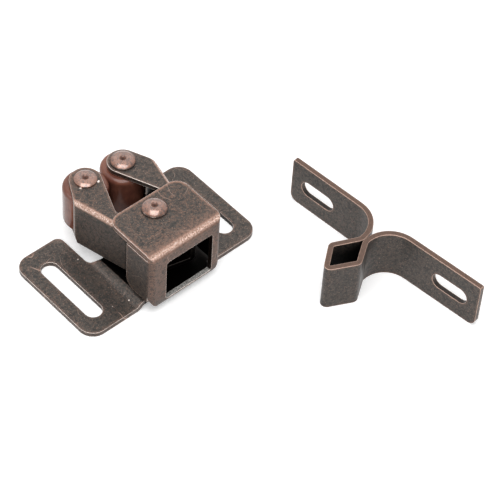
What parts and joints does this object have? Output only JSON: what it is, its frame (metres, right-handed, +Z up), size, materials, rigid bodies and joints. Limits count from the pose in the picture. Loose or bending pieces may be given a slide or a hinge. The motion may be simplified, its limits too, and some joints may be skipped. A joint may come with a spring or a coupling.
{
  "type": "double roller catch",
  "caption": "Folded steel cupboard catch with sprung arms that carry plastic rollers, and its bent spear strike standing beside it.",
  "frame": {"origin": "on the axis of the pivot rivet, level with the underside of the wings", "axes": "+Z up from the mounting face along the pivot rivet, +Y towards the rollers, the window faces -Y"},
  "size_m": [0.0685, 0.0807, 0.0202],
  "materials": {
    "antique_copper": "steel plated antique copper: dark brown patina, worn to bright copper on edges and folds",
    "rivet_copper": "steel plated antique copper, domes rubbed bright",
    "spring_steel": "dark drawn wire",
    "brown_plastic": "smooth moulded, slightly glossy, dark reddish brown"
  },
  "bodies": {
    "catch": {"case": "antique_copper", "pivot_rivet": "rivet_copper", "torsion_spring": "spring_steel", "strike": "antique_copper"},
    "left_arm": {"left_arm": "antique_copper", "left_roller_rivet": "rivet_copper"},
    "right_arm": {"right_arm": "antique_copper", "right_roller_rivet": "rivet_copper"},
    "left_roller": {"left_roller": "brown_plastic"},
    "right_roller": {"right_roller": "brown_plastic"}
  },
  "joints": [
    {"name": "left_arm_swing", "type": "hinge", "parent": "catch", "child": "left_arm", "pos_m": [0, 0, 0], "axis": [0, 0, 1], "range_deg": [0, 18], "stiffness_Nm_per_rad": 0.3, "springref_deg": -20.05, "deforming": ["torsion_spring"]},
    {"name": "right_arm_swing", "type": "hinge", "parent": "catch", "child": "right_arm", "pos_m": [0, 0, 0], "axis": [0, 0, 1], "range_deg": [-18, 0], "stiffness_Nm_per_rad": 0.3, "springref_deg": 20.05, "deforming": ["torsion_spring"]},
    {"name": "left_roller_spin", "type": "hinge", "parent": "left_arm", "child": "left_roller", "pos_m": [-0.00535, 0.0171, 0], "axis": [0, 0, 1], "continuous": true},
    {"name": "right_roller_spin", "type": "hinge", "parent": "right_arm", "child": "right_roller", "pos_m": [0.00535, 0.0171, 0], "axis": [0, 0, 1], "continuous": true}
  ]
}
